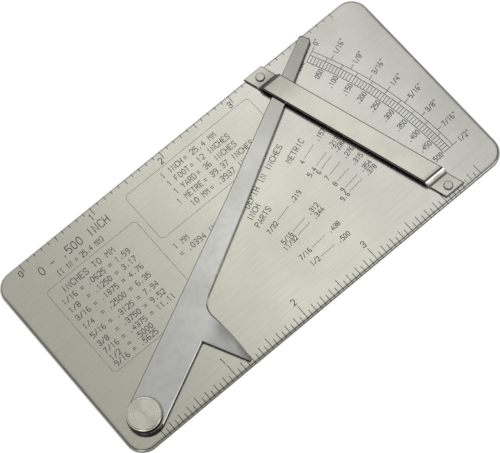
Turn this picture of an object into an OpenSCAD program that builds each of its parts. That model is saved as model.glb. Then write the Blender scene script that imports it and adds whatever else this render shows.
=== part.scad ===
// Pit depth gauge: a graduated steel plate with a pivoting pointer arm that runs under a guide strap.
// Millimetres. The plate lies flat, its back on z = 0, with the origin at the middle of its back.
// +X runs along the plate away from the pivot, +Y runs towards the edge with the tenths scale.

/* [Plate] */
// Length of the plate
plate_l = 133.35; // [126:0.05:160]
// Width of the plate
plate_w = 66.2; // [60:0.1:80]
// Thickness of the plate
plate_t = 1.5; // [1.2:0.1:3]
// Radius of the plate's four corners
corner_r = 5.5; // [2:0.5:8]
// Radius of the rounding along the edges of the plate's graduated face
edge_r = 0.75; // [0.2:0.05:1.2]
// Radius of the rounding along the edges of the plate's back
back_edge_r = 0.3; // [0.1:0.05:0.6]

/* [Pivot rivet] */
// Distance of the pivot from the plate's left end
pivot_inset_x = 8.83; // [7.5:0.01:15]
// Distance of the pivot from the plate's lower edge
pivot_inset_y = 8.5; // [7.5:0.01:12]
// Diameter of the pivot's head
head_d = 9.85; // [8:0.05:12]
// Thickness of the pivot's head
head_t = 1.5; // [1:0.1:3]
// Radius of the rounding round the head's rim
rim_r = 0.45; // [0.2:0.05:0.8]
// Diameter of the turning centre in the head
centre_d = 0.7; // [0.4:0.1:2]
// Depth of the turning centre in the head
centre_depth = 0.1; // [0.05:0.01:0.5]
// Diameter of the shoulder that the arm turns on
shoulder_d = 5; // [4:0.1:6]
// Diameter of the shank through the plate
shank_d = 3; // [2:0.1:3.5]

/* [Arm] */
// Thickness of the arm
arm_t = 1.4; // [1:0.1:2]
// Height of the bar's upper edge above the pivot
bar_up = 5.1; // [4:0.01:6]
// Depth of the bar's lower edge below the pivot
bar_low = 5.85; // [5:0.01:7]
// Distance of the spur's inner side from the pivot, along the bar
spur_at = 25.2; // [20:0.1:32]
// Length of the spur below the bar's lower edge
spur_l = 14.4; // [8:0.1:16]
// Width of the spur at its root
spur_root_w = 8.8; // [7:0.1:12]
// Width of the spur's tip
spur_tip_w = 0.8; // [0.4:0.1:2]
// Radius of the spur's curved outer flank
flank_r = 68; // [30:1:200]
// Radius of the fillet between the spur and the blade
fillet_r = 6; // [2:0.5:9]
// Distance below the bar's lower edge at which the ground face meets the flank
grind_down = 0.8; // [0.5:0.1:4]
// Angle of the ground face's upper line to the bar
grind_angle = 53; // [40:1:70]
// Radius of the rounded ground face
grind_r = 45; // [20:1:80]
// Angle at which the ground face leaves the arm's upper face
grind_entry = 7; // [3:1:12]
// Reach of the pointer's end from the pivot
arm_reach = 119.2; // [110:0.1:122]
// Drop of the reading edge's line below the pivot
read_drop = 3.51; // [3:0.01:4.5]
// Taper of the blade, between its two edges
blade_taper = 2.45; // [2:0.05:3]
// Distance from the pivot to the slight bend in the blade
bend_at = 66; // [50:1:80]
// Angle of the slight bend in the blade
blade_bend = 0.95; // [0:0.1:1.5]
// Radius of the two corners at the pointer's end
end_r = 1; // [0.5:0.1:1.6]
// Width of the broken edge along the arm's upper face
edge_break = 0.2; // [0.1:0.05:0.4]
// Width of the broken edge round the arm's heel
heel_break = 0.4; // [0.1:0.05:0.6]

/* [Strap] */
// Width of the strap
strap_w = 6.35; // [5:0.05:8]
// Thickness of the strap
strap_t = 0.8; // [0.5:0.1:1.2]
// Distance of the upper rivet from the plate's left end
upper_rivet_x = 96.3; // [85:0.05:105]
// Distance of the upper rivet from the plate's upper edge
upper_rivet_inset = 2.43; // [2:0.01:4]
// Distance of the lower rivet from the plate's left end
lower_rivet_x = 114.45; // [100:0.05:120]
// Distance of the lower rivet from the plate's lower edge
lower_rivet_inset = 3.67; // [3:0.01:5]
// Length of the upper foot from its rivet to its outer end
upper_toe = 2.65; // [2:0.05:4]
// Length of the lower foot from its rivet to its outer end
lower_toe = 2.2; // [2:0.05:3]
// Length of the upper foot from its rivet to its bend
upper_heel = 2.3; // [2:0.05:4]
// Length of the lower foot from its rivet to its bend
lower_heel = 3.1; // [2.2:0.05:4]
// Angle of the step at the upper foot
upper_step_angle = 70; // [50:1:80]
// Angle of the step at the lower foot
lower_step_angle = 70; // [50:1:80]
// Inside radius of the bends at the strap's feet
bend_r = 0.4; // [0.2:0.05:0.6]
// Inside radius of the bends at the ends of the strap's span
crown_r = 0.6; // [0.3:0.1:1.4]
// Width of the broken edges along the strap's upper side
strap_break = 0.3; // [0.1:0.05:0.4]

/* [Strap rivets] */
// Diameter of a strap rivet's shank
rivet_d = 1.6; // [1:0.1:2]
// Diameter of a strap rivet's flat head
rivet_head_d = 2.8; // [2.4:0.1:3.6]
// Height of a strap rivet's flat head
rivet_head_h = 0.5; // [0.4:0.05:1]
// Width of the bevel round a strap rivet's head
rivet_bevel = 0.3; // [0.1:0.05:0.35]

/* [Fits] */
// Play between the arm and the plate, and between the arm and the pivot's head
arm_play = 0.05; // [0.02:0.01:0.2]
// Play between the arm and the strap above it
strap_play = 0.6; // [0.3:0.05:1]
// Radial clearance of the arm's bore on the pivot's shoulder
bore_clear = 0.05; // [0.01:0.01:0.1]
// Distance that the arm's edge at rest reaches under the bend of the strap's upper step
stop_lap = 0.43; // [0:0.01:0.8]
// Radial clearance of a rivet in its hole
rivet_clear = 0.02; // [0.01:0.01:0.1]
// Depth of the flush rivet ends in the plate's back
flush_depth = 0.6; // [0.3:0.05:0.8]
// Widening of the flush rivet ends, on the radius
flush_flare = 0.6; // [0.3:0.05:1]

/* [Graduations] */
// Width of an engraved mark
mark_w = 0.2; // [0.1:0.02:0.3]
// Depth of an engraved mark
mark_depth = 0.08; // [0.04:0.01:0.2]
// Distance of both scales' zero from the plate's left end
scale_inset = 9.525; // [8:0.005:12]
// Length of a tenths mark
tenth_l = 1.4; // [1:0.1:2]
// Length of a half-inch mark on the tenths scale
tenth_half_l = 1.9; // [1.5:0.1:3]
// Length of an inch mark on the tenths scale
tenth_inch_l = 2.9; // [2:0.1:4]
// Length of a sixteenths mark
sixteenth_l = 2.2; // [1.5:0.1:3]
// Length of an eighths mark
eighth_l = 3; // [2:0.1:4]
// Length of a half-inch mark on the sixteenths scale
half_l = 3.8; // [3:0.1:5]
// Length of an inch mark on the sixteenths scale
inch_l = 4.9; // [4:0.1:6]
// Offset of the dial's centre from the pivot, along the plate
dial_off_x = -1.79; // [-3:0.01:3]
// Offset of the dial's centre from the pivot, across the plate
dial_off_y = 2.43; // [-3:0.01:3]
// Radius of the dial ladder's inner line
ladder_in_r = 112.98; // [108:0.01:118]
// Width of the dial's ladder
ladder_w = 2.32; // [1.5:0.01:4]
// Distance from the ladder to the dial's outer line
rail_gap = 1.27; // [0.5:0.01:3]
// Length of a fraction mark outside the dial's outer line
fraction_l = 1.6; // [1:0.1:3]
// Angle from the arm at rest to the dial's zero mark
dial_zero_gap = 0.98; // [0:0.05:2]
// Angle that the dial's half inch takes up
dial_sweep = 24.44; // [20:0.01:28]

/* [Hidden] */
$fn = 96;

steel = [0.78, 0.78, 0.74];
arm_steel = [0.70, 0.70, 0.70];
strap_steel = [0.80, 0.79, 0.74];
rivet_steel = [0.74, 0.74, 0.70];

inch = 25.4;
cut = 0.5;
proud = 0.01;
face_r = min(edge_r, 0.6 * plate_t);
back_r = min(back_edge_r, 0.2 * plate_t);

// Levels above the plate's back
arm_z = plate_t + arm_play;
arm_top = arm_z + arm_t;
head_z = arm_top + arm_play;
strap_lift = arm_play + arm_t + strap_play;

// Places on the plate, seen from above
left_x = -plate_l / 2;
low_y = -plate_w / 2;
up_y = plate_w / 2;
pivot = [left_x + pivot_inset_x, low_y + pivot_inset_y];
upper_rivet = [left_x + upper_rivet_x, up_y - upper_rivet_inset];
lower_rivet = [left_x + lower_rivet_x, low_y + lower_rivet_inset];

// Unit vector at an angle, the one to its left, and the point where two lines meet
function along(a) = [cos(a), sin(a)];
function leftward(a) = [-sin(a), cos(a)];
function meet(p, a, q, b) = p + along(a) * cross(q - p, along(b)) / cross(along(a), along(b));

// Each foot's step is two bends with a straight ramp between them
bend_out_r = bend_r + strap_t;
steepest = max(upper_step_angle, lower_step_angle);
crown_in_r = min(crown_r, 0.95 * strap_lift / (1 - cos(steepest)) - bend_out_r);
crown_out_r = crown_in_r + strap_t;
bends_r = bend_out_r + crown_in_r;
bend_steps = 10;
function ramp_l(a) = (strap_lift - bends_r * (1 - cos(a))) / sin(a);
function step_run(a) = bends_r * sin(a) + ramp_l(a) * cos(a);

strap_lean = (lower_rivet.x - upper_rivet.x) / (upper_rivet.y - lower_rivet.y);
strap_half_x = strap_w / 2 * sqrt(1 + strap_lean * strap_lean);
function strap_x(y) = upper_rivet.x + (upper_rivet.y - y) * strap_lean;
span_top_y = upper_rivet.y - upper_heel - step_run(upper_step_angle);
span_low_y = lower_rivet.y + lower_heel + step_run(lower_step_angle);

// At rest the blade's upper edge lies against the step at the strap's upper foot
stop = [strap_x(span_top_y) + strap_half_x, span_top_y + stop_lap];
to_stop = stop - pivot;
blade_up = bar_up * cos(blade_bend) - bend_at * sin(blade_bend);
rest_angle = atan2(to_stop.y, to_stop.x) - asin(blade_up / norm(to_stop)) - blade_bend;

// The arm's outline, with the pivot at its origin and the bar along +X
read_angle = blade_taper + blade_bend;
read_start = [0, -read_drop];
bend_up = [bend_at, bar_up];
bend_low = [bend_at, bend_at * tan(blade_taper) - read_drop];
tip = [spur_at + spur_tip_w, -bar_low - spur_l];
root_x = spur_at + spur_root_w;
root = [root_x, root_x * tan(blade_taper) - read_drop];
heel_r = (bar_up + bar_low) / 2;
heel = [0, (bar_up - bar_low) / 2];

// Centre of the flank's arc through the tip and the root, and of the fillet that touches flank and blade
chord = root - tip;
chord_angle = atan2(chord.y, chord.x);
flank = (tip + root) / 2 + leftward(chord_angle) * sqrt(flank_r * flank_r - chord * chord / 4);
fillet_line = read_start - leftward(blade_taper) * fillet_r - flank;
fillet_dot = fillet_line * along(blade_taper);
fillet_far = pow(flank_r + fillet_r, 2) - fillet_line * fillet_line;
fillet = flank + fillet_line + along(blade_taper) * (sqrt(fillet_dot * fillet_dot + fillet_far) - fillet_dot);
flank_touch = flank + (fillet - flank) * flank_r / (flank_r + fillet_r);
blade_touch = fillet + leftward(blade_taper) * fillet_r;

// How far the ground face's cutter runs past the flank
grind_lead = 1;

// Centres of the two rounded corners at the pointer's end
end_line = [arm_reach, 0] - along(read_angle) * end_r;
end_up = meet(bend_up - leftward(blade_bend) * end_r, blade_bend, end_line, 90 + read_angle);
end_low = meet(bend_low + leftward(read_angle) * end_r, read_angle, end_line, 90 + read_angle);

// Both scales run for as many half inches as the plate leaves room for
half_inches = floor((plate_l - 2 * scale_inset) / (inch / 2) + 0.01);
dial = pivot + [dial_off_x, dial_off_y];
dial_zero = rest_angle - dial_zero_gap;
ladder_out_r = ladder_in_r + ladder_w;
rail_r = ladder_out_r + rail_gap;
rungs = 50;
long_rung = 5;
fractions = 8;

// Cross-section of the plate, w wide
module plate_section(w) {
    wall = plate_t - face_r - back_r;
    translate([-w / 2, back_r]) square([w, wall]);
    translate([back_r - w / 2, 0]) square([w - 2 * back_r, back_r + wall]);
    translate([face_r - w / 2, back_r]) square([w - 2 * face_r, wall + face_r]);
    for (side = [-1, 1]) {
        translate([side * (w / 2 - face_r), plate_t - face_r]) circle(r = face_r);
        translate([side * (w / 2 - back_r), back_r]) circle(r = back_r);
    }
}

// Plate with round corners and rounded edges
module slab() {
    straight_x = plate_l - 2 * corner_r;
    straight_y = plate_w - 2 * corner_r;
    rotate([90, 0, 90]) linear_extrude(height = straight_x, center = true) plate_section(plate_w);
    rotate([90, 0, 0]) linear_extrude(height = straight_y, center = true) plate_section(plate_l);
    for (x = [-straight_x / 2, straight_x / 2], y = [-straight_y / 2, straight_y / 2]) {
        translate([x, y, 0]) rotate_extrude() intersection() {
            plate_section(2 * corner_r);
            square([corner_r, plate_t]);
        }
    }
}

// Part of a ring, from angle a0 to angle a1
module ring_part(r_in, r_out, a0, a1) {
    reach = 2 * r_out;
    intersection() {
        difference() {
            circle(r = r_out);
            circle(r = r_in);
        }
        polygon([[0, 0], reach * along(a0), reach * along((a0 + a1) / 2), reach * along(a1)]);
    }
}

// Length of the mark at step i on each of the two scales
function tenth_mark(i) = i % 10 == 0 ? tenth_inch_l : i % 5 == 0 ? tenth_half_l : tenth_l;
function sixteenth_mark(i) = i % 16 == 0 ? inch_l : i % 8 == 0 ? half_l : i % 2 == 0 ? eighth_l : sixteenth_l;

// Marks of the two edge scales
module scale_marks() {
    for (i = [0 : 5 * half_inches]) {
        translate([left_x + scale_inset + i * inch / 10 - mark_w / 2, up_y - tenth_mark(i)])
            square([mark_w, tenth_mark(i) + cut]);
    }
    for (i = [0 : 8 * half_inches]) {
        translate([left_x + scale_inset + i * inch / 16 - mark_w / 2, low_y - cut])
            square([mark_w, sixteenth_mark(i) + cut]);
    }
}

// Line of the dial at an angle, from one radius to another
module dial_line(a, r0, r1) {
    rotate(a) translate([r0, -mark_w / 2]) square([r1 - r0, mark_w]);
}

// The dial's ladder of hundredths with its rails, and the fractions outside them
module dial_marks() {
    half_w = mark_w / 2;
    translate(dial) {
        for (i = [0 : rungs]) {
            a = dial_zero - i * dial_sweep / rungs;
            dial_line(a, ladder_in_r, i % long_rung == 0 ? rail_r : ladder_out_r);
        }
        for (i = [0 : fractions]) {
            dial_line(dial_zero - i * dial_sweep / fractions, rail_r, rail_r + fraction_l);
        }
        for (r = [ladder_in_r, ladder_out_r, rail_r]) {
            ring_part(r - half_w, r + half_w, dial_zero - dial_sweep, dial_zero);
        }
    }
}

// Hole for a rivet in the plate, widened at the back for its flush end
module rivet_hole(d) {
    r = d / 2 + rivet_clear;
    translate([0, 0, -cut]) cylinder(r = r, h = plate_t + 2 * cut);
    cylinder(r1 = r + flush_flare, r2 = r, h = flush_depth);
    translate([0, 0, -cut]) cylinder(r = r + flush_flare, h = cut);
}

// Half section of a rivet's shank and flush end, up to height h
module shank_section(d, h) {
    polygon([[0, 0], [d / 2 + flush_flare, 0], [d / 2, flush_depth], [d / 2, h], [0, h]]);
}

module base_plate() {
    color(steel) difference() {
        slab();
        translate(pivot) rivet_hole(shank_d);
        translate(upper_rivet) rivet_hole(rivet_d);
        translate(lower_rivet) rivet_hole(rivet_d);
        translate([0, 0, plate_t - mark_depth]) linear_extrude(height = cut) {
            scale_marks();
            dial_marks();
        }
    }
}

// Disc of the arm's thickness
module arm_disc(centre, r) {
    translate(centre) cylinder(r = r, h = arm_t);
}

// Bar and blade of the arm, with its round heel and the rounded corners of the pointer's end
module blade_blank() {
    linear_extrude(height = arm_t) polygon([
        [0, bar_up], bend_up,
        end_up + leftward(blade_bend) * end_r, end_up + along(read_angle) * end_r,
        end_low + along(read_angle) * end_r, end_low - leftward(read_angle) * end_r,
        bend_low, [spur_at, spur_at * tan(blade_taper) - read_drop],
        [spur_at, -bar_low], [0, -bar_low]
    ]);
    arm_disc(end_up, end_r + proud);
    arm_disc(end_low, end_r + proud);
    arm_disc(heel, heel_r + proud);
}

// Spur, with the fillet that joins its flank to the blade
module spur_blank() {
    intersection() {
        arm_disc(flank, flank_r);
        translate([spur_at, tip.y, 0]) cube([spur_root_w + fillet_r, -tip.y, arm_t]);
    }
    difference() {
        linear_extrude(height = arm_t)
            polygon([flank_touch, root + leftward(chord_angle), blade_touch, fillet]);
        translate([0, 0, -cut]) translate(fillet) cylinder(r = fillet_r + proud, h = arm_t + 2 * cut);
    }
}

// Cutter for the rounded ground face on the lower half of the spur, worked out from the arm's upper face
module grind_cut() {
    start_y = -bar_low - grind_down;
    start = [flank.x + sqrt(flank_r * flank_r - pow(start_y - flank.y, 2)), start_y];
    length = 2 * spur_l;
    axis_y = grind_r * sin(grind_entry);
    translate([start.x, start.y, arm_top]) rotate(grind_angle) difference() {
        translate([-length, axis_y - length, -arm_t / 2]) cube([length + grind_lead, length, arm_t]);
        translate([0, axis_y, -grind_r * cos(grind_entry)]) rotate([0, 90, 0])
            cylinder(r = grind_r, h = 4 * length, center = true);
    }
}

// Cutter for the broken edge round the arm's heel
module heel_cut() {
    r = heel_r + proud;
    reach = r + cut;
    intersection() {
        translate(heel) rotate_extrude() polygon([
            [r - heel_break - cut, arm_top + cut],
            [reach, arm_top - heel_break - cut],
            [reach, arm_top + cut]
        ]);
        translate([-2 * reach, -2 * reach, arm_z]) cube([2 * reach + edge_break, 4 * reach, arm_t + cut]);
    }
}

// Cutter for a broken edge of width w at height top, from p to q with the steel on the left
module break_cut(p, q, top = arm_top, w = edge_break) {
    side = w * sqrt(2);
    translate([p.x, p.y, top]) rotate(atan2(q.y - p.y, q.x - p.x)) translate([0, w, 0])
        rotate([45, 0, 0]) translate([0, -2 * side, 0]) cube([norm(q - p), 3 * side, side]);
}

module pointer_arm() {
    notch = [spur_at, -bar_low];
    lap = 4 * edge_break;
    color(arm_steel) translate(pivot) rotate(rest_angle) difference() {
        translate([0, 0, arm_z]) {
            blade_blank();
            spur_blank();
        }
        translate([0, 0, arm_z - cut]) cylinder(r = shoulder_d / 2 + bore_clear, h = arm_t + 2 * cut);
        grind_cut();
        heel_cut();
        break_cut([0, -bar_low], notch - [edge_break, 0]);
        break_cut(notch - [0, edge_break], [spur_at, tip.y - cut]);
        break_cut(bend_up, [0, bar_up]);
        break_cut(end_up + leftward(blade_bend) * end_r, bend_up - lap * along(blade_bend));
        break_cut(blade_touch, bend_low + lap * along(blade_taper));
        break_cut(bend_low - lap * along(read_angle), end_low - leftward(read_angle) * end_r);
        break_cut(end_low + along(read_angle) * end_r, end_up + along(read_angle) * end_r);
    }
}

// Points along an arc about c, from angle a0 to angle a1
function arc_points(c, r, a0, a1) = [for (i = [0 : bend_steps]) c + r * along(a0 + (a1 - a0) * i / bend_steps)];

// Under and upper side of a strap step that rises at angle a from a foot whose underside ends at the origin
function step_under(a) = concat(
    arc_points([0, bend_out_r], bend_out_r, -90, a - 90),
    arc_points([step_run(a), strap_lift - crown_in_r], crown_in_r, 90 + a, 90)
);
function step_upper(a) = concat(
    arc_points([0, bend_out_r], bend_r, -90, a - 90),
    arc_points([step_run(a), strap_lift - crown_in_r], crown_out_r, 90 + a, 90)
);
function placed(points, y, way) = [for (p = points) [y + way * p.x, p.y]];
function backwards(points) = [for (i = [len(points) - 1 : -1 : 0]) points[i]];

// Side view of the whole strap, with y along and z up
module strap_section() {
    low_end = lower_rivet.y - lower_toe;
    low_bend = lower_rivet.y + lower_heel;
    up_bend = upper_rivet.y - upper_heel;
    up_end = upper_rivet.y + upper_toe;
    polygon(concat(
        [[low_end, 0]],
        placed(step_under(lower_step_angle), low_bend, 1),
        backwards(placed(step_under(upper_step_angle), up_bend, -1)),
        [[up_end, 0], [up_end, strap_t]],
        placed(step_upper(upper_step_angle), up_bend, -1),
        backwards(placed(step_upper(lower_step_angle), low_bend, 1)),
        [[low_end, strap_t]]
    ));
}

// Points on the strap's left and right edge
function strap_left(y) = [strap_x(y) - strap_half_x, y];
function strap_right(y) = [strap_x(y) + strap_half_x, y];

// Cutters for the strap's broken long edges, from y0 to y1 at height top
module strap_edges(y0, y1, top) {
    break_cut(strap_right(y0), strap_right(y1), top, strap_break);
    break_cut(strap_left(y1), strap_left(y0), top, strap_break);
}

// Cutters for all the broken edges of the strap's upper side
module strap_breaks() {
    foot_top = plate_t + strap_t;
    span_top = foot_top + strap_lift;
    end_break = 0.8 * strap_break;
    low_end = lower_rivet.y - lower_toe;
    up_end = upper_rivet.y + upper_toe;
    strap_edges(span_low_y - crown_out_r, span_top_y + crown_out_r, span_top);
    strap_edges(low_end - cut, lower_rivet.y + lower_heel - strap_break, foot_top);
    strap_edges(upper_rivet.y - upper_heel + strap_break, up_end + cut, foot_top);
    break_cut(strap_left(low_end) - [cut, 0], strap_right(low_end) + [cut, 0], foot_top, end_break);
    break_cut(strap_right(up_end) + [cut, 0], strap_left(up_end) - [cut, 0], foot_top, end_break);
}

module guide_strap() {
    y0 = lower_rivet.y - lower_toe - cut;
    y1 = upper_rivet.y + upper_toe + cut;
    color(strap_steel) difference() {
        intersection() {
            translate([0, 0, plate_t]) rotate([90, 0, 90])
                linear_extrude(height = 2 * plate_l, center = true) strap_section();
            linear_extrude(height = plate_t + strap_lift + 2 * strap_t)
                polygon([strap_left(y0), strap_right(y0), strap_right(y1), strap_left(y1)]);
        }
        strap_breaks();
        for (p = [upper_rivet, lower_rivet]) {
            translate([p.x, p.y, plate_t - cut]) cylinder(r = rivet_d / 2 + rivet_clear, h = strap_t + 2 * cut);
        }
    }
}

module pivot_rivet() {
    top = head_z + head_t;
    r = head_d / 2;
    color(rivet_steel) translate(pivot) rotate_extrude() difference() {
        union() {
            shank_section(shank_d, head_z);
            translate([0, plate_t]) square([shoulder_d / 2, head_z - plate_t]);
            translate([0, head_z]) square([r, head_t - rim_r]);
            translate([0, head_z]) square([r - rim_r, head_t]);
            translate([r - rim_r, top - rim_r]) circle(r = rim_r);
        }
        polygon([[0, top - centre_depth], [centre_d / 2, top], [0, top + cut]]);
    }
}

// Flat-headed rivet that holds one foot of the strap
module strap_rivet() {
    seat = plate_t + strap_t;
    top = seat + rivet_head_h;
    r = rivet_head_d / 2;
    rotate_extrude() {
        shank_section(rivet_d, seat);
        polygon([
            [0, seat], [r, seat], [r, top - rivet_bevel],
            [r - 0.3 * rivet_bevel, top - 0.3 * rivet_bevel], [r - rivet_bevel, top], [0, top]
        ]);
    }
}

module upper_strap_rivet() {
    color(rivet_steel) translate(upper_rivet) strap_rivet();
}

module lower_strap_rivet() {
    color(rivet_steel) translate(lower_rivet) strap_rivet();
}

base_plate();
pointer_arm();
guide_strap();
pivot_rivet();
upper_strap_rivet();
lower_strap_rivet();
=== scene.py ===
from math import cos, pi, radians, sin

import bmesh
import bpy
from mathutils import Matrix, Vector


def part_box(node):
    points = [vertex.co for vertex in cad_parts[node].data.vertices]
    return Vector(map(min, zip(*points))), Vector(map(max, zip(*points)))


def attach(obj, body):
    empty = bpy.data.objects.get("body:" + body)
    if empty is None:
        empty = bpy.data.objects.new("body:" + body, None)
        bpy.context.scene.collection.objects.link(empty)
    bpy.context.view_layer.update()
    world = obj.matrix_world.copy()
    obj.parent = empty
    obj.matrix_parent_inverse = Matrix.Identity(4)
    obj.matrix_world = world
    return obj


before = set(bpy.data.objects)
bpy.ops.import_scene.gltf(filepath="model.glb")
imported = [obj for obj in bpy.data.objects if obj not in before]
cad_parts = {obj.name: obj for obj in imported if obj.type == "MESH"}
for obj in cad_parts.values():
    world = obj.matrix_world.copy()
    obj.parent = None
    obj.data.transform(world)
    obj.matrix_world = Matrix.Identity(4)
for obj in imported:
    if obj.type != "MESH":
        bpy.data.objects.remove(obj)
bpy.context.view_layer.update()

MM = 0.001

# Corners of the plate in metres, and its sizes and marks in millimetres, which the lettering follows
PLATE_LOW, PLATE_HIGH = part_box("base_plate")
LEFT = PLATE_LOW.x / MM
LOWER = PLATE_LOW.y / MM
TOP = PLATE_HIGH.z / MM
INCH = 25.4
SCALE_INSET = 9.525
MARK_DEPTH = 0.08
MARK_W = 0.2
EDGE_R = 0.75
CORNER_R = 5.5

# The dial, from its centre on the plate, with angles in degrees and readings in inches
DIAL_CENTRE = (7.04, 10.93)
DIAL_AT = (LEFT + DIAL_CENTRE[0], LOWER + DIAL_CENTRE[1])
DIAL_ZERO = 25.06
DIAL_SWEEP = 24.44
DIAL_RANGE = 0.5
LADDER_INNER = 112.98
RAIL = 116.57
FRACTION_MARK = 1.6

# The arm at rest: its directions, and the pivot that it turns on
ARM_ANGLE = 26.04
ARM_RUN = (cos(radians(ARM_ANGLE)), sin(radians(ARM_ANGLE)), 0.0)
ARM_LEFT = (-ARM_RUN[1], ARM_RUN[0], 0.0)
PIVOT = sum(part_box("pivot_rivet"), Vector()) / 2
PIVOT_AT = (PIVOT.x / MM, PIVOT.y / MM)
PIVOT_REACH = PIVOT.dot(ARM_RUN) / MM
HEAD_R = (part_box("pivot_rivet")[1].x - PIVOT.x) / MM

# The spur in the arm's own directions, from the pivot, in millimetres
SPUR_BASE = -5.85
SPUR_L = 14.4
FLANK_CENTRE = (-31.58, 15.92)
FLANK_R = 68.0
FILLET_CENTRE = (38.49, -7.87)
FILLET_R = 6.0
NOTCH_AT = 25.8

# Rounded end of the pointer, as one end of a long box that lies along the reading edge
READ_ANGLE = 3.4
END_REACH = 118.99
END_MID = -2.83
END_LONG = 10.0
END_WIDE = 1.77
END_R = 1.0
END_HALF = Vector((END_LONG, END_WIDE, END_LONG)) * MM
END_AT = Vector((END_REACH - END_LONG, END_MID, 0.0)) * MM

# Lettering, cut with a narrow round tool and filled with dark paint
GLYPH_W = 4
GLYPH_H = 6
SIGN_SHARE = 0.66
PAINT_RISE = 0.008
PAINT_SINK = 0.04
LINE_W = 0.12
TITLE_W = 0.23
ROW_W = 0.19
FINE_W = 0.2

# Strokes of each sign on a grid of 4 by 6: o is a round loop, ~ a round line, and the rest are straight
GLYPHS = {
    "0": "o00404606",
    "1": "152620",
    "2": "~0506464300 0040",
    "3": "~0516464313 ~1343401001",
    "4": "30360242",
    "5": "460603 ~0324434000",
    "6": "~360600404303",
    "7": "064610",
    "8": "o03434606 o00404303",
    "9": "~104046060343",
    ".": "2021",
    "/": "0046",
    "\"": "1516 3536",
    "=": "0242 0444",
    "-": "0343",
    "(": "~36161030",
    ")": "~16363010",
    "A": "002640 1232",
    "C": "~454606004041",
    "D": "0006 ~06464000",
    "E": "46060040 0333",
    "F": "000646 0333",
    "H": "0006 4046 0343",
    "I": "2026",
    "M": "0006234640",
    "N": "00064046",
    "O": "o00404606",
    "P": "0006 ~06464303",
    "R": "0006 ~06464303 2340",
    "S": "~4546060343400001",
    "T": "0646 2026",
    "Y": "062346 2320",
}


def rounded(points, closed):
    """The points with their corners cut twice, so that they run round."""
    for _ in range(2):
        following = points[1:] + points[:1] if closed else points[1:]
        cut = [p.lerp(q, t) for p, q in zip(points, following) for t in (0.25, 0.75)]
        points = cut if closed else [points[0]] + cut[1:-1] + [points[-1]]
    return points


def glyph_paths(sign):
    """The strokes of one sign on its grid, each as its points and whether it closes."""
    for stroke in GLYPHS[sign].split():
        digits = stroke.lstrip("o~")
        points = [Vector((float(x), float(y))) for x, y in zip(digits[::2], digits[1::2])]
        closed = stroke.startswith("o")
        yield (rounded(points, closed) if stroke[0] in "o~" else points), closed


def section(bm, left, right):
    """The four corners of a strip of paint at one place, two over the plate's face and two in it."""
    corners = ((left, PAINT_RISE), (right, PAINT_RISE), (right, -PAINT_SINK), (left, -PAINT_SINK))
    return [bm.verts.new(((LEFT + p.x) * MM, (LOWER + p.y) * MM, (TOP + z) * MM)) for p, z in corners]


def ribbon(bm, path, closed, width):
    """A thin closed strip of paint along a path in plate millimetres, let into the plate's face."""
    half = width / 2
    following = path[1:] + path[:1] if closed else path[1:]
    runs = [(q - p).normalized() for p, q in zip(path, following)]
    if not closed:
        path = [path[0] - runs[0] * half] + path[1:-1] + [path[-1] + runs[-1] * half]
    rings = []
    for i, point in enumerate(path):
        run_in = runs[i - 1] if closed or i > 0 else runs[0]
        run_out = runs[min(i, len(runs) - 1)]
        along = (run_in + run_out).normalized()
        side = Vector((-along.y, along.x)) * half / max(along.dot(run_in), 0.5)
        rings.append(section(bm, point + side, point - side))
    for ring, after in zip(rings, rings[1:] + rings[:1] if closed else rings[1:]):
        for k in range(4):
            bm.faces.new((ring[k], ring[(k + 1) % 4], after[(k + 1) % 4], after[k]))
    if not closed:
        bm.faces.new(rings[0][::-1])
        bm.faces.new(rings[-1])


def letter(bm, text, at, height, pitch, angle=0.0, align=0.0, width=ROW_W):
    """A row of signs. align 0 starts it at the point, 0.5 centres it there and 1 ends it there."""
    turn = Matrix.Rotation(radians(angle), 2)
    sign_w = SIGN_SHARE * pitch
    row = (len(text) - 1) * pitch + sign_w
    for i, sign in enumerate(text):
        if sign == " ":
            continue
        left = i * pitch - align * row
        for path, closed in glyph_paths(sign):
            spots = [Vector((left + p.x / GLYPH_W * sign_w, p.y / GLYPH_H * height)) for p in path]
            ribbon(bm, [Vector(at) + turn @ p for p in spots], closed, width)


def polar(radius, angle):
    """A point about the dial's centre, in plate millimetres."""
    return Vector(DIAL_CENTRE) + radius * Vector((cos(radians(angle)), sin(radians(angle))))


def dial_angle(reading):
    """Angle of a depth in inches on the dial."""
    return DIAL_ZERO - DIAL_SWEEP * reading / DIAL_RANGE


def radial(bm, text, radius, angle, height, pitch, align):
    """A row that runs outwards from the dial's centre, centred on its line."""
    across = Vector((sin(radians(angle)), -cos(radians(angle))))
    letter(bm, text, polar(radius, angle) + across * height / 2, height, pitch, angle, align, FINE_W)


def piece(name, bm, body, material):
    """The mesh as a named piece that rides on a body."""
    mesh = bpy.data.meshes.new(name)
    bmesh.ops.recalc_face_normals(bm, faces=bm.faces)
    bm.to_mesh(mesh)
    bm.free()
    mesh.materials.append(material)
    obj = bpy.data.objects.new(name, mesh)
    bpy.context.scene.collection.objects.link(obj)
    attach(obj, body)


# Node trees. Noise swings between its two limits, and brushed lines are counted per metre
NOISE_LOW = 0.3
NOISE_HIGH = 0.7
BRUSH_LINES = 14000
STREAK_LINES = 2600
LEVEL = (0.8, 0.95)


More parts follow.
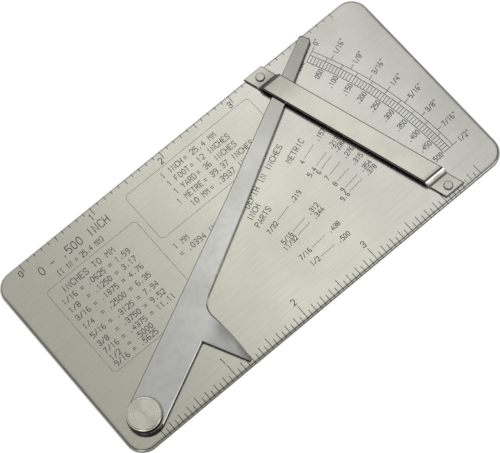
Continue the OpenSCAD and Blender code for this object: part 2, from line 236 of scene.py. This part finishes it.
class Tree:
    """A material's node tree, built by calls that give sockets back."""

    def __init__(self, name):
        self.material = bpy.data.materials.new(name)
        self.material.use_nodes = True
        self.nodes = self.material.node_tree.nodes
        self.links = self.material.node_tree.links
        self.shader = self.nodes["Principled BSDF"]

    def feed(self, socket, value):
        """A socket takes another socket's output, or a value."""
        if isinstance(value, bpy.types.NodeSocket):
            self.links.new(value, socket)
        else:
            socket.default_value = value

    def node(self, kind, inputs=(), **settings):
        """A node with its settings, fed by its inputs' names or numbers."""
        made = self.nodes.new(kind)
        for key, value in settings.items():
            setattr(made, key, value)
        for key, value in dict(inputs).items():
            self.feed(made.inputs[key], value)
        return made

    def coords(self):
        return self.node("ShaderNodeTexCoord").outputs["Object"]

    def split(self, vector):
        return self.node("ShaderNodeSeparateXYZ", {0: vector}).outputs

    def math(self, operation, a, b=0.0):
        return self.node("ShaderNodeMath", {0: a, 1: b}, operation=operation).outputs[0]

    def both(self, a, b):
        return self.math("MULTIPLY", a, b)

    def most(self, a, b):
        return self.math("MAXIMUM", a, b)

    def above(self, value, limit):
        return self.math("GREATER_THAN", value, limit)

    def below(self, value, limit):
        return self.math("LESS_THAN", value, limit)

    def vector(self, operation, a, b=(0.0, 0.0, 0.0)):
        made = self.node("ShaderNodeVectorMath", {0: a, 1: b}, operation=operation)
        return made.outputs["Value" if operation in ("LENGTH", "DOT_PRODUCT", "DISTANCE") else "Vector"]

    def dot(self, a, b):
        return self.vector("DOT_PRODUCT", a, b)

    def turned(self, vector, angle):
        """Coordinates along and across a direction in the plate's plane."""
        made = self.node("ShaderNodeVectorRotate", {"Vector": vector, "Angle": -radians(angle)},
                         rotation_type="Z_AXIS")
        return made.outputs[0]

    def inset(self, vector, size, corner):
        """How far a point lies inside a plate with round corners, as far as their radius."""
        straight = (size.x - corner, size.y - corner, size.z + corner)
        beyond = self.vector("MAXIMUM", self.vector("SUBTRACT", self.vector("ABSOLUTE", vector), straight))
        return self.math("SUBTRACT", corner, self.vector("LENGTH", beyond))

    def from_centre(self, vector, centre):
        """Distance in the plate's plane from a centre in millimetres."""
        flat = self.vector("MULTIPLY", vector, (1.0, 1.0, 0.0))
        return self.vector("DISTANCE", flat, (centre[0] * MM, centre[1] * MM, 0.0))

    def stripes(self, x, pitch):
        """The marks of an edge scale, as bands across x."""
        start = LEFT + SCALE_INSET
        steps = self.math("DIVIDE", self.math("SUBTRACT", x, start * MM), pitch * MM)
        off = self.math("ABSOLUTE", self.math("SUBTRACT", steps, self.math("ROUND", steps)))
        band = self.below(off, MARK_W / 2 / pitch)
        within = self.below(self.math("ABSOLUTE", x), (MARK_W - start) * MM)
        return self.both(band, within)

    def ramp(self, value, low, high, to_low=0.0, to_high=1.0):
        """The value from low to high, eased to a new range."""
        made = self.node("ShaderNodeMapRange", {0: value, 1: low, 2: high, 3: to_low, 4: to_high},
                         interpolation_type="SMOOTHSTEP")
        return made.outputs[0]

    def fade(self, value, low, high):
        """A share that is whole at low and gone at high."""
        return self.ramp(value, low, high, 1.0, 0.0)

    def zone(self, value, low, high, to_low=0.0, to_high=1.0):
        """A ramp between two places in millimetres."""
        return self.ramp(value, low * MM, high * MM, to_low, to_high)

    def band(self, value, places, before=0.0, top=1.0, after=0.0):
        """A share that rises between the first two of four places in millimetres and falls after."""
        rise = self.zone(value, places[0], places[1], before, 1.0)
        return self.both(rise, self.zone(value, places[2], places[3], top, after))

    def mix(self, share, a, b):
        made = self.node("ShaderNodeMix", {"Factor": share, "A": a, "B": b}, data_type="RGBA")
        return made.outputs["Result"]

    def veil(self, colour, noise, tint, share=1.0, low=NOISE_LOW):
        """The colour with a share of a tint over it where the noise is high."""
        return self.mix(self.ramp(noise, low, NOISE_HIGH, 0.0, share), colour, tint)

    def noise(self, vector, scale, detail=2.0):
        made = self.node("ShaderNodeTexNoise", {"Vector": vector, "Scale": scale, "Detail": detail})
        return made.outputs["Fac"]

    def brushed(self, vector, angle, along, across=BRUSH_LINES, detail=2.0):
        """Noise that runs slowly along a direction in the plate's plane and fast across it."""
        scale = (along, across, across)
        made = self.node("ShaderNodeMapping", {"Vector": self.turned(vector, angle), "Scale": scale})
        return self.noise(made.outputs[0], 1.0, detail)

    def facing(self):
        """The direction that a face looks in, turning with its piece."""
        normal = self.node("ShaderNodeNewGeometry").outputs["True Normal"]
        made = self.node("ShaderNodeVectorTransform", {"Vector": normal},
                         vector_type="NORMAL", convert_from="WORLD", convert_to="OBJECT")
        return made.outputs[0]

    def upright(self):
        """How far the face looks up, 1 for a level face."""
        return self.split(self.node("ShaderNodeNewGeometry").outputs["True Normal"])[2]

    def bump(self, height, strength, distance):
        made = self.node("ShaderNodeBump", {"Height": height, "Strength": strength, "Distance": distance})
        self.feed(self.shader.inputs["Normal"], made.outputs[0])

    def finish(self, colour, roughness, metallic=1.0):
        self.feed(self.shader.inputs["Base Color"], colour)
        self.feed(self.shader.inputs["Roughness"], roughness)
        self.feed(self.shader.inputs["Metallic"], metallic)
        return self.material


def grey(level, warmth=0.0):
    """A grey, with more of the yellow-green of stainless steel the warmer it is."""
    return (level, level, level * (1 - warmth), 1.0)


# Plate: where its finish and its painted edge shade change, in millimetres
PLATE_FADE = (-20, 60)
# Painted shade on the rounded edges, from how far inside the rim it starts to where it is darkest
EDGE_SHADE_BAND = (0.3, 1.6)
LEFT_END = (-65.5, -64.5)
UPPER_EDGE = (20, 30)
DIAL_INSIDE = (LADDER_INNER - 2, LADDER_INNER - 1)


def plate_edge(t, colour, coords, x, y, up):
    """Painted shade on the rounded edges, strongest at the left end and faint along the upper edge, and
    painted shade on the walls.
    """
    # Painted shade: the rounded edges are painted darker towards the plate's rim
    edge_shade = t.zone(t.inset(coords, PLATE_HIGH, CORNER_R * MM), *EDGE_SHADE_BAND, 1.0, 0.0)
    edge_shade = t.both(edge_shade, t.zone(x, *LEFT_END, 0.5, 0.36))
    edge_shade = t.both(edge_shade, t.zone(y, *UPPER_EDGE, 1.0, 0.1))
    colour = t.mix(edge_shade, colour, grey(0.22, 0.1))
    # Painted shade: the steep walls are painted nearly black
    wall_shade = t.fade(t.math("ABSOLUTE", up), 0.35, 0.7)
    return t.mix(wall_shade, colour, grey(0.06, 0.1))


def plate_marks(t, x, y, z, up):
    """The floors of the cut marks, and the scale marks' ends that run over the rolled edges."""
    groove = t.both(t.above(up, 0.99), t.below(z, (TOP - MARK_DEPTH / 2) * MM))
    groove = t.both(groove, t.above(z, TOP / 2 * MM))
    upper = t.both(t.above(y, -(LOWER + EDGE_R) * MM), t.stripes(x, INCH / 10))
    lower = t.both(t.below(y, (LOWER + EDGE_R) * MM), t.stripes(x, INCH / 16))
    return t.most(groove, t.both(t.most(upper, lower), t.above(up, 0.3)))


def plate_steel():
    t = Tree("plate_steel")
    coords = t.coords()
    x, y, z = t.split(coords)
    up = t.upright()
    brush = t.brushed(coords, 0, 60)
    streak = t.brushed(coords, 0, 70, STREAK_LINES, 3.0)
    cloud = t.noise(coords, 45.0, 4.0)
    colour = t.mix(t.zone(x, *PLATE_FADE), grey(0.63, 0.15), grey(0.61, 0.08))
    colour = t.veil(colour, cloud, grey(0.55, 0.13), 0.3)
    colour = t.veil(colour, streak, grey(0.42, 0.1), 0.16, 0.35)
    colour = t.veil(colour, brush, grey(0.4, 0.1), 0.1)
    colour = plate_edge(t, colour, coords, x, y, up)
    mark = plate_marks(t, x, y, z, up)
    on_dial = t.zone(t.from_centre(coords, DIAL_AT), *DIAL_INSIDE)
    colour = t.mix(mark, colour, t.mix(on_dial, grey(0.03), grey(0.3)))
    t.bump(brush, 0.04, 0.00001)
    roughness = t.ramp(cloud, NOISE_LOW, NOISE_HIGH, 0.2, 0.24)
    return t.finish(colour, roughness, t.math("SUBTRACT", 1.0, mark))


# Arm: where its finish and its painted shade change along it and across its spur, in millimetres
BAR_FADE = (-60, 20)
POINTER_FADE = (8, 50)
# Painted shade on the heel's edge, and painted shadow round the pivot's head
HEEL_SHADE_BAND = (PIVOT_REACH - 0.6, PIVOT_REACH + 0.4)
HEAD_SHADOW_RING = (HEAD_R + 0.1, HEAD_R + 0.7)
BEHIND_HEAD = (PIVOT_REACH - 2, PIVOT_REACH + 3)
# Where the painted edge shade fades out low on the spur's flank
FLANK_UNSHADED = (SPUR_BASE - SPUR_L / 3, SPUR_BASE - SPUR_L / 8)
SPUR_FACE = (SPUR_BASE - 4, SPUR_BASE + 1)
SPUR_TIP = (SPUR_BASE - 0.65 * SPUR_L, SPUR_BASE - SPUR_L / 3)
# Painted shade on the spur's face, growing towards the flank
FLANK_SHADE_BAND = (FLANK_R - 4, FLANK_R - 0.4)
FLANK_RIM = (FLANK_R - 0.35, FLANK_R - 0.2)
RIM_START = SPUR_BASE - 0.1
FILLET_RIM = (FILLET_R + 0.25, FILLET_R + 0.4)
FILLET_STOP = (SPUR_BASE + 2.8, SPUR_BASE + 3.8)
END_RIM = (0.2, 0.5)
END_START = (END_LONG - 1.4, END_LONG - 0.8)


def arm_sheet(t, coords, reach, brush, cloud):
    """Pale steel at the heel, greyer along the bar and dark towards the pointer's end."""
    colour = t.mix(t.zone(reach, *BAR_FADE), grey(0.67, 0.06), grey(0.59, 0.07))
    colour = t.mix(t.zone(reach, *POINTER_FADE), colour, grey(0.32, 0.12))
    colour = t.veil(colour, cloud, grey(0.48, 0.06), 0.35)
    colour = t.veil(colour, t.noise(coords, 420.0, 3.0), grey(0.44, 0.02), 0.2, 0.4)
    return t.veil(colour, brush, grey(0.32), 0.12)


def arm_heel(t, colour, coords, reach):
    """Painted shade on the heel's broken edge, and a ring of painted shadow round the pivot's head."""
    # Painted shade: the heel's broken edge is painted nearly black
    heel_shade = t.both(t.fade(t.upright(), *LEVEL), t.zone(reach, *HEEL_SHADE_BAND, 1.0, 0.0))
    colour = t.mix(heel_shade, colour, grey(0.05, 0.3))
    # Painted shadow: a dark ring on the arm round the pivot's head, stronger towards the heel
    shadow_by_head = t.zone(t.from_centre(coords, PIVOT_AT), *HEAD_SHADOW_RING, 1.0, 0.0)
    behind = t.zone(reach, *BEHIND_HEAD, 0.95, 0.5)
    return t.mix(t.both(shadow_by_head, behind), colour, grey(0.08, 0.1))


def arm_edges(t, colour, facing, shade_on_edges):
    """Painted shade on the broken edges of the arm's far sides, fading out low on the spur's flank."""
    away = t.most(t.dot(facing, ARM_LEFT), t.dot(facing, ARM_RUN))
    broken = t.both(t.ramp(away, 0.3, 0.5), t.ramp(t.split(facing)[2], 0.3, 0.5))
    # Painted shade: the far broken edges are painted dark
    return t.mix(t.both(broken, shade_on_edges), colour, grey(0.1, 0.05))


def spur_face(t, colour, facing, across, on_flank):
    """Painted shade on the spur's ground face, darkest along its flank above the tip."""
    ground_shade = t.both(t.zone(on_flank, *FLANK_SHADE_BAND, 0.0, 0.45), t.zone(across, *SPUR_TIP))
    ground_shade = t.both(t.math("ADD", ground_shade, 0.45), t.zone(across, *SPUR_FACE, 1.0, 0.0))
    flat = t.ramp(t.split(facing)[2], *LEVEL)
    # Painted shade: the spur's level face is painted darker
    return t.mix(t.both(ground_shade, flat), colour, grey(0.26, 0.04))


def notch_walls(t, colour, facing, along, across):
    """Painted shade on the walls of the spur's side of the notch and along the bar behind it."""
    on_spur = t.both(t.fade(t.dot(facing, ARM_RUN), -0.95, -0.8), t.below(across, SPUR_BASE * MM))
    on_bar = t.both(t.fade(t.dot(facing, ARM_LEFT), -0.95, -0.6), t.below(along, NOTCH_AT * MM))
    # Painted shade: these walls are painted nearly black
    return t.mix(t.most(on_spur, on_bar), colour, grey(0.03))


def spur_rim(t, colour, own, across, on_flank, shade_on_edges):
    """A thin rim of painted shade along the flank, where the edges are shaded, and round the fillet."""
    rim = t.both(t.zone(on_flank, *FLANK_RIM), t.both(t.below(across, RIM_START * MM), shade_on_edges))
    in_fillet = t.zone(t.from_centre(own, FILLET_CENTRE), *FILLET_RIM, 1.0, 0.0)
    in_fillet = t.both(in_fillet, t.zone(across, *FILLET_STOP, 1.0, 0.0))
    # Painted shade: a thin dark line along the flank and round the fillet
    return t.mix(t.most(rim, in_fillet), colour, grey(0.06))


def pointer_end(t, colour, own):
    """A rim of painted shade round the pointer's end."""
    at_end = t.vector("SUBTRACT", t.turned(own, READ_ANGLE), END_AT)
    rim = t.zone(t.inset(at_end, END_HALF, END_R * MM), *END_RIM, 0.95, 0.0)
    rim = t.both(rim, t.zone(t.split(at_end)[0], *END_START))
    # Painted shade: a dark band along the pointer's end
    return t.mix(rim, colour, grey(0.1, 0.05))


def arm_steel():
    t = Tree("arm_steel")
    coords = t.coords()
    reach = t.dot(coords, ARM_RUN)
    facing = t.facing()
    own = t.turned(t.vector("SUBTRACT", coords, (PIVOT.x, PIVOT.y, 0.0)), ARM_ANGLE)
    along, across, _ = t.split(own)
    on_flank = t.from_centre(own, FLANK_CENTRE)
    shade_on_edges = t.zone(across, *FLANK_UNSHADED)
    brush = t.brushed(coords, ARM_ANGLE, 90)
    cloud = t.noise(coords, 90.0, 4.0)
    colour = arm_sheet(t, coords, reach, brush, cloud)
    colour = arm_heel(t, colour, coords, reach)
    colour = arm_edges(t, colour, facing, shade_on_edges)
    colour = spur_face(t, colour, facing, across, on_flank)
    colour = notch_walls(t, colour, facing, along, across)
    colour = spur_rim(t, colour, own, across, on_flank, shade_on_edges)
    colour = pointer_end(t, colour, own)
    t.bump(brush, 0.04, 0.00001)
    return t.finish(colour, t.ramp(cloud, NOISE_LOW, NOISE_HIGH, 0.19, 0.24))


# Strap: its brushed direction, and where painted shade darkens its bends and ends, across the plate's width
STRAP_ANGLE = 106
# Painted shade at the two steps
UPPER_STEP_SHADE = (16, 27.5, 28.5, 31.5)
LOWER_STEP_SHADE = (-30.5, -27, -26.2, -25.8)
UPPER_VALLEY = (26.4, 27.2, 28.3, 28.8)
LOWER_VALLEY = (-26.7, -26.4, -26.1, -25.8)
LOWER_LIP = (-24.6, -23.2)
LIP_START = -24.9
UPPER_TOE = (33.02, 33.1)
LOWER_TOE = (-31.4, -31.3)


def strap_stains(t, colour, y, cloud):
    """Painted shade, broken up by noise, at the strap's two steps, and painted shade on the lip of the
    lower one.
    """
    upper = t.band(y, UPPER_STEP_SHADE, 0.0, 0.65, 0.195)
    lower = t.band(y, LOWER_STEP_SHADE, 0.4, 0.3, 0.0)
    patchy = t.ramp(cloud, 0.25, 0.6, 0.75, 1.0)
    # Painted shade at the two steps, broken up by the noise
    colour = t.mix(t.both(t.most(upper, lower), patchy), colour, grey(0.24, 0.18))
    # Painted shade on the lip of the lower step
    lip = t.both(t.zone(y, *LOWER_LIP, 0.5, 0.0), t.above(y, LIP_START * MM))
    return t.mix(lip, colour, grey(0.24, 0.18))


def strap_edges(t, colour, y):
    """A painted highlight on the steep fronts, and painted shade on the sheared edges, the valleys and the
    underside.
    """
    across, front, up = t.split(t.node("ShaderNodeNewGeometry").outputs["True Normal"])
    # Painted highlight: the steep faces towards the front are painted pale
    colour = t.mix(t.fade(front, -0.7, -0.4), colour, grey(0.82, 0.02))
    valley = t.most(t.band(y, UPPER_VALLEY), t.band(y, LOWER_VALLEY))
    toes = t.most(t.zone(y, *UPPER_TOE), t.zone(y, *LOWER_TOE, 1.0, 0.0))
    sides = t.ramp(t.math("ABSOLUTE", across), 0.4, 0.6)
    sheared = t.both(t.most(sides, toes), t.ramp(up, 0.3, 0.5))
    # Painted shade: the sheared edges and the valleys of the bends are painted dark
    colour = t.mix(t.most(sheared, valley), colour, grey(0.12, 0.1))
    # Painted shade: the underside is painted nearly black
    return t.mix(t.fade(up, -0.6, -0.2), colour, grey(0.08, 0.1))


def strap_steel():
    t = Tree("strap_steel")
    coords = t.coords()
    y = t.split(coords)[1]
    brush = t.brushed(coords, STRAP_ANGLE, 150)
    cloud = t.noise(coords, 110.0, 4.0)
    colour = t.veil(grey(0.55, 0.14), cloud, grey(0.51, 0.12))
    colour = t.veil(colour, brush, grey(0.4, 0.1), 0.1)
    colour = strap_stains(t, colour, y, cloud)
    colour = strap_edges(t, colour, y)
    t.bump(brush, 0.03, 0.00001)
    return t.finish(colour, t.ramp(cloud, NOISE_LOW, NOISE_HIGH, 0.15, 0.19))


# Pivot's head: its turned rings, counted per metre
TURNED_RINGS = 4200.0


def pivot_steel():
    t = Tree("pivot_steel")
    turns = t.math("MULTIPLY", t.from_centre(t.coords(), PIVOT_AT), TURNED_RINGS)
    rings = t.node("ShaderNodeTexNoise", {"W": turns, "Scale": 1.0, "Detail": 2.0},
                   noise_dimensions="1D").outputs["Fac"]
    colour = t.veil(grey(0.62, 0.14), rings, grey(0.84, 0.14))
    # Painted shade: the head's wall is painted dark
    wall_shade = t.fade(t.upright(), 0.1, 0.5)
    colour = t.mix(wall_shade, colour, grey(0.12, 0.1))
    t.bump(rings, 0.15, 0.00002)
    t.shader.inputs["Anisotropic"].default_value = 0.85
    t.shader.inputs["Anisotropic Rotation"].default_value = 0.25
    tangent = t.node("ShaderNodeTangent", direction_type="RADIAL", axis="Z").outputs[0]
    t.feed(t.shader.inputs["Tangent"], tangent)
    return t.finish(colour, t.ramp(rings, 0.2, 0.8, 0.22, 0.27))


def rivet_steel():
    t = Tree("rivet_steel")
    speck = t.noise(t.coords(), 2600.0, 2.0)
    colour = t.veil(grey(0.4, 0.08), speck, grey(0.62, 0.06))
    # Painted shade: the rivet's bevel is painted darker, as a dark ring round its top
    bevel = t.fade(t.upright(), *LEVEL)
    colour = t.mix(bevel, colour, grey(0.22, 0.1))
    t.bump(speck, 0.2, 0.00003)
    return t.finish(colour, t.ramp(speck, 0.2, 0.8, 0.2, 0.3))


def paint(name, dark, worn):
    """A matt paint that is rubbed in places."""
    t = Tree(name)
    rubbed = t.noise(t.coords(), 900.0, 3.0)
    t.shader.inputs["Specular IOR Level"].default_value = 0.2
    colour = t.mix(t.ramp(rubbed, 0.4, 0.75), dark, worn)
    return t.finish(colour, t.ramp(rubbed, 0.2, 0.8, 0.6, 0.8), 0.0)


FINISHES = {
    "base_plate": plate_steel(),
    "pointer_arm": arm_steel(),
    "guide_strap": strap_steel(),
    "pivot_rivet": pivot_steel(),
}
FINISHES["upper_strap_rivet"] = FINISHES["lower_strap_rivet"] = rivet_steel()
for name, finish in FINISHES.items():
    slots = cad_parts[name].data.materials
    slots.clear()
    slots.append(finish)
mark_paint = paint("mark_paint", grey(0.012), grey(0.06, 0.05))
line_paint = paint("line_paint", grey(0.16, 0.05), grey(0.5, 0.1))

# Numbers of the two edge scales, before the upper inch marks and over the lower ones
NUMBER_H = 1.8
NUMBER_PITCH = 1.45
UPPER_NUMBERS = 62.5
UPPER_GAP = 0.75
LOWER_NUMBERS = 5.6
LOWER_SHIFT = 0.15
numbers = bmesh.new()
for inch in range(4):
    mark = SCALE_INSET + inch * INCH
    at = (mark - UPPER_GAP, UPPER_NUMBERS)
    letter(numbers, str(inch), at, NUMBER_H, NUMBER_PITCH, align=1.0, width=TITLE_W)
    if inch:
        at = (mark - LOWER_SHIFT, LOWER_NUMBERS)
        letter(numbers, str(inch), at, NUMBER_H, NUMBER_PITCH, align=0.5, width=TITLE_W)
piece("scale_numbers", numbers, "plate", mark_paint)

# Numbers of the dial, inside in thousandths and outside in fractions
SIXTEENTHS = ("1/16", "1/8", "3/16", "1/4", "5/16", "3/8", "7/16", "1/2", "9/16")
DIAL_H = 1.5
DIAL_PITCH = 1.03
LADDER_STEP = 0.05
LADDER_GAP = 0.5
FRACTION_GAP = 0.7
ZERO_TURN = 0.6
dial = bmesh.new()
for step in range(11):
    value = "%03d" % round(1000 * LADDER_STEP * step)
    if step > 1:
        value = "." + value
    angle = dial_angle(LADDER_STEP * step) + (ZERO_TURN if step == 0 else 0.0)
    radial(dial, value, LADDER_INNER - LADDER_GAP, angle, DIAL_H, DIAL_PITCH, 1.0)
for step, fraction in enumerate(("0",) + SIXTEENTHS[:8]):
    radius = RAIL + FRACTION_MARK + FRACTION_GAP
    radial(dial, fraction + "\"", radius, dial_angle(step / 16), DIAL_H, DIAL_PITCH, 0.0)
piece("dial_numbers", dial, "plate", mark_paint)

# Plain reference rows: the title and single rows, each with its place, height, pitch and stroke
ROW_H = 1.7
ROW_PITCH = 1.3
SINGLE_ROWS = (
    ("0 - .500 INCH", (12.6, 58.98), 2.4, 1.93, TITLE_W),
    ("(1 IN = 25.4 MM)", (16.3, 55.6), ROW_H, 1.02, ROW_W),
    ("INCHES TO MM", (14.2, 50.95), 1.85, 1.56, ROW_W),
    ("1 MM", (45.7, 40.1), ROW_H, ROW_PITCH, ROW_W),
    ("= .0394 INCH", (45.7, 37.2), ROW_H, ROW_PITCH, ROW_W),
)
rows = bmesh.new()
for text, at, height, pitch, width in SINGLE_ROWS:
    letter(rows, text, at, height, pitch, width=width)

# Sixteenths of an inch, in millimetres too where the arm leaves room for them
SIXTEENTH_LEFT = 12.0
SIXTEENTH_ROWS = (48.0, 45.0, 42.0, 38.7, 35.3, 32.2, 29.4, 26.8, 24.6)
SIXTEENTH_H = 1.62
SIXTEENTH_PITCH = 1.26
FULL_ROWS = 7
for step, (fraction, y) in enumerate(zip(SIXTEENTHS, SIXTEENTH_ROWS)):
    part = (step + 1) / 16
    text = "%-4s = .%04d" % (fraction, 10000 * part)
    if step < FULL_ROWS:
        text += " = %.2f" % (INCH * part)
    letter(rows, text, (SIXTEENTH_LEFT, y), SIXTEENTH_H, SIXTEENTH_PITCH)

# Units, set out from their equals signs
UNITS = (("1 INCH", "25.4 MM"), ("1 FOOT", "12 INCHES"), ("1 YARD", "36 INCHES"),
         ("1 METRE", "39.37 INCHES"), ("10 MM", ".3937 INCH"))
UNIT_TOP = 58.7
UNIT_STEP = 3.0
UNIT_END = 63.6
EQUALS_AT = 64.5
EQUALS_PITCH = 1.16
SIZE_START = 67.0
for step, (unit, size) in enumerate(UNITS):
    y = UNIT_TOP - UNIT_STEP * step
    letter(rows, unit, (UNIT_END, y), ROW_H, ROW_PITCH, align=1.0)
    letter(rows, "=", (EQUALS_AT, y), ROW_H, EQUALS_PITCH)
    letter(rows, size, (SIZE_START, y), ROW_H, ROW_PITCH)

# Depths, each on a short line at the dial's angle for it, and headings at a radius and an angle
DEPTH_HEADINGS = (
    ("DEPTH IN INCHES", 76.6, 22.65, 1.4),
    ("METRIC", 87.4, 19.65, 1.36),
    ("INCH", 66.0, 20.5, 1.36),
    ("PARTS", 66.1, 17.9, 1.36),
)
DEPTH_H = 1.4
LEADER_L = 5.0
SIZE_GAP = 0.7
DEPTH_GAP = 1.6
METRIC_START = 86.6
METRIC_SIZES = (4, 5.4, 6, 7, 8, 9, 9.6)
PARTS_START = 67.5
PARTS_SIZES = ((7, 32), (5, 16), (11, 32), (7, 16), (1, 2))


def depth_row(bm, size, depth, line_start):
    """A size, its line and its depth in inches."""
    angle = dial_angle(depth)
    line_end = line_start + LEADER_L
    radial(bm, size, line_start - SIZE_GAP, angle, DEPTH_H, DIAL_PITCH, 1.0)
    ribbon(bm, [polar(line_start, angle), polar(line_end, angle)], False, LINE_W)
    radial(bm, ".%03d" % round(1000 * depth), line_end + DEPTH_GAP, angle, DEPTH_H, DIAL_PITCH, 0.0)


for text, radius, angle, pitch in DEPTH_HEADINGS:
    radial(rows, text, radius, angle, ROW_H, pitch, 0.5)
for size in METRIC_SIZES:
    depth_row(rows, "%g" % size, size / INCH, METRIC_START)
for over, under in PARTS_SIZES:
    depth_row(rows, "%d/%d" % (over, under), over / under, PARTS_START)
piece("reference_rows", rows, "plate", mark_paint)

# Fine lines round the two blocks of rows: their four sides, and how far the lower right corner is open
FRAME_SIDES = ((10.16, 23.5, 42.3, 54.45, 4.0), (44.45, 44.9, 89.75, 61.8, 6.5))
FRAME_R = 1.3
FRAME_STEPS = 6


def frame_line(bm, x0, y0, x1, y1, opening):
    """A fine line round a block of rows, with three round corners and the lower right one left open."""
    path = [Vector((x1 - opening, y0))]
    corners = ((x0 + FRAME_R, y0 + FRAME_R, 270), (x0 + FRAME_R, y1 - FRAME_R, 180),
               (x1 - FRAME_R, y1 - FRAME_R, 90))
    for x, y, start in corners:
        for step in range(FRAME_STEPS + 1):
            a = radians(start - 90 / FRAME_STEPS * step)
            path.append(Vector((x + FRAME_R * cos(a), y + FRAME_R * sin(a))))
    path.append(Vector((x1, y0 + opening)))
    ribbon(bm, path, False, LINE_W)


lines = bmesh.new()
for sides in FRAME_SIDES:
    frame_line(lines, *sides)
piece("frame_lines", lines, "plate", line_paint)

# Floor
FLOOR_HALF = 1.5
FLOOR_GAP = 0.00005
FLOOR_GLOW = 0.68
bpy.ops.mesh.primitive_grid_add(x_subdivisions=8, y_subdivisions=8, size=2 * FLOOR_HALF,
                                location=(0, 0, -FLOOR_GAP))
floor = bpy.context.object
floor.name = "floor"


def floor_paper():
    """White paper that glows to the camera and in mirrors, but lights nothing."""
    t = Tree("floor_paper")
    fibre = t.noise(t.coords(), 600.0, 3.0)
    t.shader.inputs["Specular IOR Level"].default_value = 0.1
    t.shader.inputs["Emission Color"].default_value = grey(1.0)
    rays = t.node("ShaderNodeLightPath").outputs
    seen = t.most(t.most(rays["Is Camera Ray"], rays["Is Glossy Ray"]), rays["Is Transmission Ray"])
    t.feed(t.shader.inputs["Emission Strength"], t.math("MULTIPLY", seen, FLOOR_GLOW))
    return t.finish(t.mix(fibre, grey(0.93), grey(0.96)), 0.9, 0.0)


floor.data.materials.append(floor_paper())

# Light: a pale room that grows dark towards the zenith, and a soft lamp overhead, with a dimmer wing at its
# left, which the flat faces mirror to the camera. A side lamp and a front lamp light the edges and rims
ROOM_LOW = 0.4
ROOM_HIGH = 0.05
FADE_START = 0.72
FADE_END = 0.9
LAMP_Y = 0.3
LAMP_Z = 0.78
LAMP_LENGTH = 0.7
LAMP_SPLIT = 0.072
LAMP_RIGHT = 0.302
LAMP_LEFT = -0.2
OVERHEAD_RADIANCE = 1.2
WING_RADIANCE = 0.52
SIDE_AT = (0.347, -0.711, 0.312)
SIDE_SIZE = (0.42, 0.5)
SIDE_RADIANCE = 1.4
FRONT_AT = (-0.58, -0.406, 0.44)
FRONT_SIZE = (0.3, 0.6)
FRONT_RADIANCE = 1.3
OBJECT_AT = (0.0, 0.0, 0.0)
scene = bpy.context.scene


def pale_room():
    """A world whose strength depends on how high one looks."""
    world = bpy.data.worlds.new("room")
    world.use_nodes = True
    room = world.node_tree
    look = room.nodes.new("ShaderNodeTexCoord")
    height = room.nodes.new("ShaderNodeSeparateXYZ")
    level = room.nodes.new("ShaderNodeMapRange")
    level.interpolation_type = "SMOOTHSTEP"
    level.inputs["From Min"].default_value = FADE_START
    level.inputs["From Max"].default_value = FADE_END
    level.inputs["To Min"].default_value = ROOM_LOW
    level.inputs["To Max"].default_value = ROOM_HIGH
    background = room.nodes["Background"]
    background.inputs["Color"].default_value = grey(1.0)
    room.links.new(look.outputs["Generated"], height.inputs[0])
    room.links.new(height.outputs["Z"], level.inputs["Value"])
    room.links.new(level.outputs[0], background.inputs["Strength"])
    return world


def soft_lamp(name, at, towards, size, radiance):
    """A lamp that looks at a point, and as bright as a white sheet when its radiance is 1."""
    data = bpy.data.lights.new(name, "AREA")
    data.shape = "RECTANGLE"
    data.size, data.size_y = size
    data.energy = radiance * pi * size[0] * size[1]
    lamp = bpy.data.objects.new(name, data)
    lamp.location = at
    lamp.rotation_euler = (Vector(at) - Vector(towards)).to_track_quat("Z", "Y").to_euler()
    scene.collection.objects.link(lamp)


def overhead(name, left, right, radiance):
    """A long lamp overhead that looks straight down, between two places across the object."""
    x = (left + right) / 2
    soft_lamp(name, (x, LAMP_Y, LAMP_Z), (x, LAMP_Y, 0.0), (right - left, LAMP_LENGTH), radiance)


scene.world = pale_room()
overhead("overhead_lamp", LAMP_SPLIT, LAMP_RIGHT, OVERHEAD_RADIANCE)
overhead("overhead_wing", LAMP_LEFT, LAMP_SPLIT, WING_RADIANCE)
soft_lamp("side_lamp", SIDE_AT, OBJECT_AT, SIDE_SIZE, SIDE_RADIANCE)
soft_lamp("front_lamp", FRONT_AT, OBJECT_AT, FRONT_SIZE, FRONT_RADIANCE)

# Camera where the photograph was taken from, in millimetres, with a lens as long as the photograph's
PHOTO_W = 500
FOCAL_PX = 2380.11
SENSOR = 36.0
CAMERA_AT = (-98.8, -204.7, 626.2)
CAMERA_RIGHT = (0.76429, -0.63879, -0.08832)
CAMERA_UP = (0.62792, 0.70600, 0.32755)
CAMERA_BACK = (-0.14688, -0.30580, 0.94070)
lens = bpy.data.cameras.new("camera")
lens.sensor_width = SENSOR
lens.lens = FOCAL_PX / PHOTO_W * SENSOR
camera = bpy.data.objects.new("camera", lens)
axes = Matrix((CAMERA_RIGHT, CAMERA_UP, CAMERA_BACK)).transposed()
camera.matrix_world = Matrix.Translation(Vector(CAMERA_AT) * MM) @ axes.to_4x4()
scene.collection.objects.link(camera)
scene.camera = camera
scene.view_settings.view_transform = "Standard"
